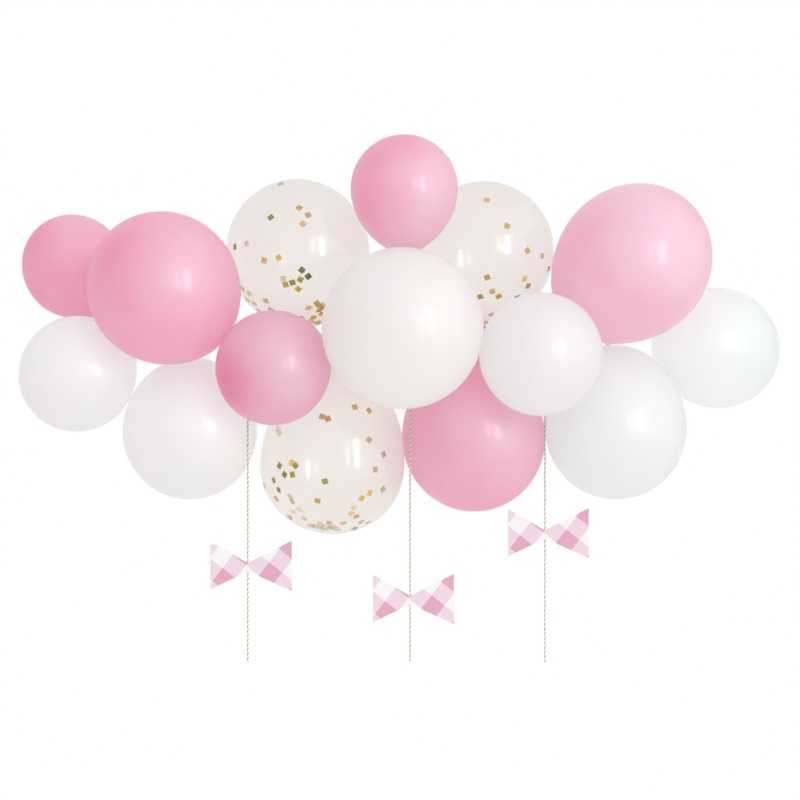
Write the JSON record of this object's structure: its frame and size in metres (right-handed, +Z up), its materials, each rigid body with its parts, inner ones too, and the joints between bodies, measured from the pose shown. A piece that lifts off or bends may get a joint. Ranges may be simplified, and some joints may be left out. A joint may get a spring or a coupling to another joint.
{
  "type": "balloon arch",
  "caption": "Hanging garland of pink, white and clear confetti latex balloons on a hidden strip, with twines that carry flat gingham bows.",
  "frame": {"origin": "middle of the strip's back face, where the arch is fixed to a wall", "axes": "+X to the right along the arch, +Y into the wall behind it, +Z up"},
  "size_m": [1.446, 0.5504, 0.9896],
  "materials": {
    "pink_latex": "satin pastel pink balloon latex, a little translucent",
    "white_latex": "satin white balloon latex, a little translucent",
    "clear_latex": "glossy milky clear balloon latex with gold foil confetti inside",
    "strip_plastic": "smooth translucent plastic strip",
    "twisted_twine": "two-ply cotton twine, gold and cream",
    "gingham_card": "matt card printed with pink gingham on both sides"
  },
  "bodies": {
    "root": {"balloon_pink_far_left": "pink_latex", "balloon_pink_large_left": "pink_latex", "balloon_pink_top": "pink_latex", "balloon_pink_large_right": "pink_latex", "balloon_pink_small_left": "pink_latex", "balloon_pink_lower": "pink_latex", "balloon_white_far_left": "white_latex", "balloon_white_lower_left": "white_latex", "balloon_white_large_centre": "white_latex", "balloon_white_small_right": "white_latex", "balloon_white_lower_right": "white_latex", "balloon_white_far_right": "white_latex", "balloon_confetti_upper_left": "clear_latex", "balloon_confetti_upper_right": "clear_latex", "balloon_confetti_lower": "clear_latex", "balloon_strip": "strip_plastic", "twine_left": "twisted_twine", "twine_middle": "twisted_twine", "twine_right": "twisted_twine", "bow_left": "gingham_card", "bow_middle": "gingham_card", "bow_right": "gingham_card"}
  },
  "joints": []
}
